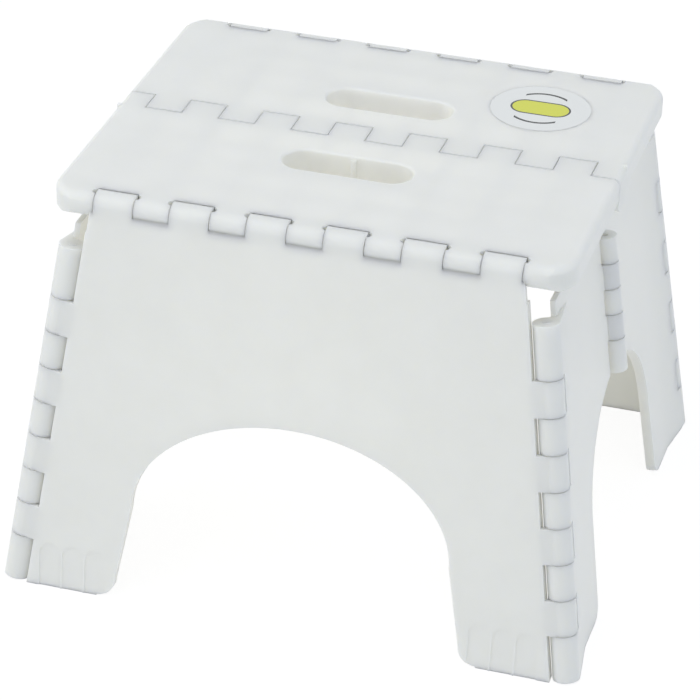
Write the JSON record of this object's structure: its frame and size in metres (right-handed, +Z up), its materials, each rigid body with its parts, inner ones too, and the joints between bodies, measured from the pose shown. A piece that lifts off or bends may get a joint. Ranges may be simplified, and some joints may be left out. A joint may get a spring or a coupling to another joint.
{
  "type": "folding step stool",
  "caption": "Folding step stool of moulded plastic: two hinged seat halves with handle slots, arched front and rear leg panels and side panels that fold inwards.",
  "frame": {"origin": "on the floor, at the middle of the stool", "axes": "+X to the right along the seat's hinges, -Y to the front, +Z up"},
  "size_m": [0.3224, 0.2864, 0.2286],
  "materials": {
    "white_polypropylene": "injection moulded polypropylene, softly glossy",
    "steel_rod": "drawn steel wire",
    "label_film": "clear printed film"
  },
  "bodies": {
    "front_leg": {"front_leg_panel": "white_polypropylene", "front_leg_rod": "steel_rod", "right_front_corner_rod": "steel_rod", "left_front_corner_rod": "steel_rod"},
    "front_seat": {"front_seat_half": "white_polypropylene", "seat_centre_rod": "steel_rod"},
    "rear_seat": {"rear_seat_half": "white_polypropylene", "round_label": "label_film"},
    "rear_leg": {"rear_leg_panel": "white_polypropylene", "rear_leg_rod": "steel_rod", "right_rear_corner_rod": "steel_rod", "left_rear_corner_rod": "steel_rod"},
    "right_front_side": {"right_front_side_panel": "white_polypropylene"},
    "left_front_side": {"left_front_side_panel": "white_polypropylene", "left_side_rod": "steel_rod"},
    "right_rear_side": {"right_rear_side_panel": "white_polypropylene", "right_side_rod": "steel_rod"},
    "left_rear_side": {"left_rear_side_panel": "white_polypropylene"}
  },
  "joints": [
    {"name": "front_leg_hinge", "type": "hinge", "parent": "front_leg", "child": "front_seat", "pos_m": [0, -0.109, 0.2216], "axis": [1, 0, 0], "range_deg": [0, 84.8]},
    {"name": "seat_fold", "type": "hinge", "parent": "front_seat", "child": "rear_seat", "pos_m": [0, 0, 0.2143], "axis": [-1, 0, 0], "range_deg": [0, 180]},
    {"name": "rear_leg_hinge", "type": "hinge", "parent": "rear_seat", "child": "rear_leg", "pos_m": [0, 0.109, 0.2216], "axis": [1, 0, 0], "range_deg": [0, 84.8]},
    {"name": "right_front_corner_hinge", "type": "hinge", "parent": "front_leg", "child": "right_front_side", "pos_m": [0.154, -0.136, 0], "axis": [-0.1357, 0.1198, 0.9835], "range_deg": [0, 88.5]},
    {"name": "left_front_corner_hinge", "type": "hinge", "parent": "front_leg", "child": "left_front_side", "pos_m": [-0.154, -0.136, 0], "axis": [-0.1357, -0.1198, -0.9835], "range_deg": [0, 88.5]},
    {"name": "right_rear_corner_hinge", "type": "hinge", "parent": "rear_leg", "child": "right_rear_side", "pos_m": [0.154, 0.136, 0], "axis": [0.1357, 0.1198, -0.9835], "range_deg": [0, 88.5]},
    {"name": "left_rear_corner_hinge", "type": "hinge", "parent": "rear_leg", "child": "left_rear_side", "pos_m": [-0.154, 0.136, 0], "axis": [0.1357, -0.1198, 0.9835], "range_deg": [0, 88.5]}
  ],
  "couplings": [
    {"joint": "front_leg_hinge", "follows": "seat_fold", "ratio": 0.47111},
    {"joint": "rear_leg_hinge", "follows": "seat_fold", "ratio": 0.47111},
    {"joint": "right_front_corner_hinge", "follows": "seat_fold", "ratio": 0.49167},
    {"joint": "left_front_corner_hinge", "follows": "seat_fold", "ratio": 0.49167},
    {"joint": "right_rear_corner_hinge", "follows": "seat_fold", "ratio": 0.49167},
    {"joint": "left_rear_corner_hinge", "follows": "seat_fold", "ratio": 0.49167}
  ]
}
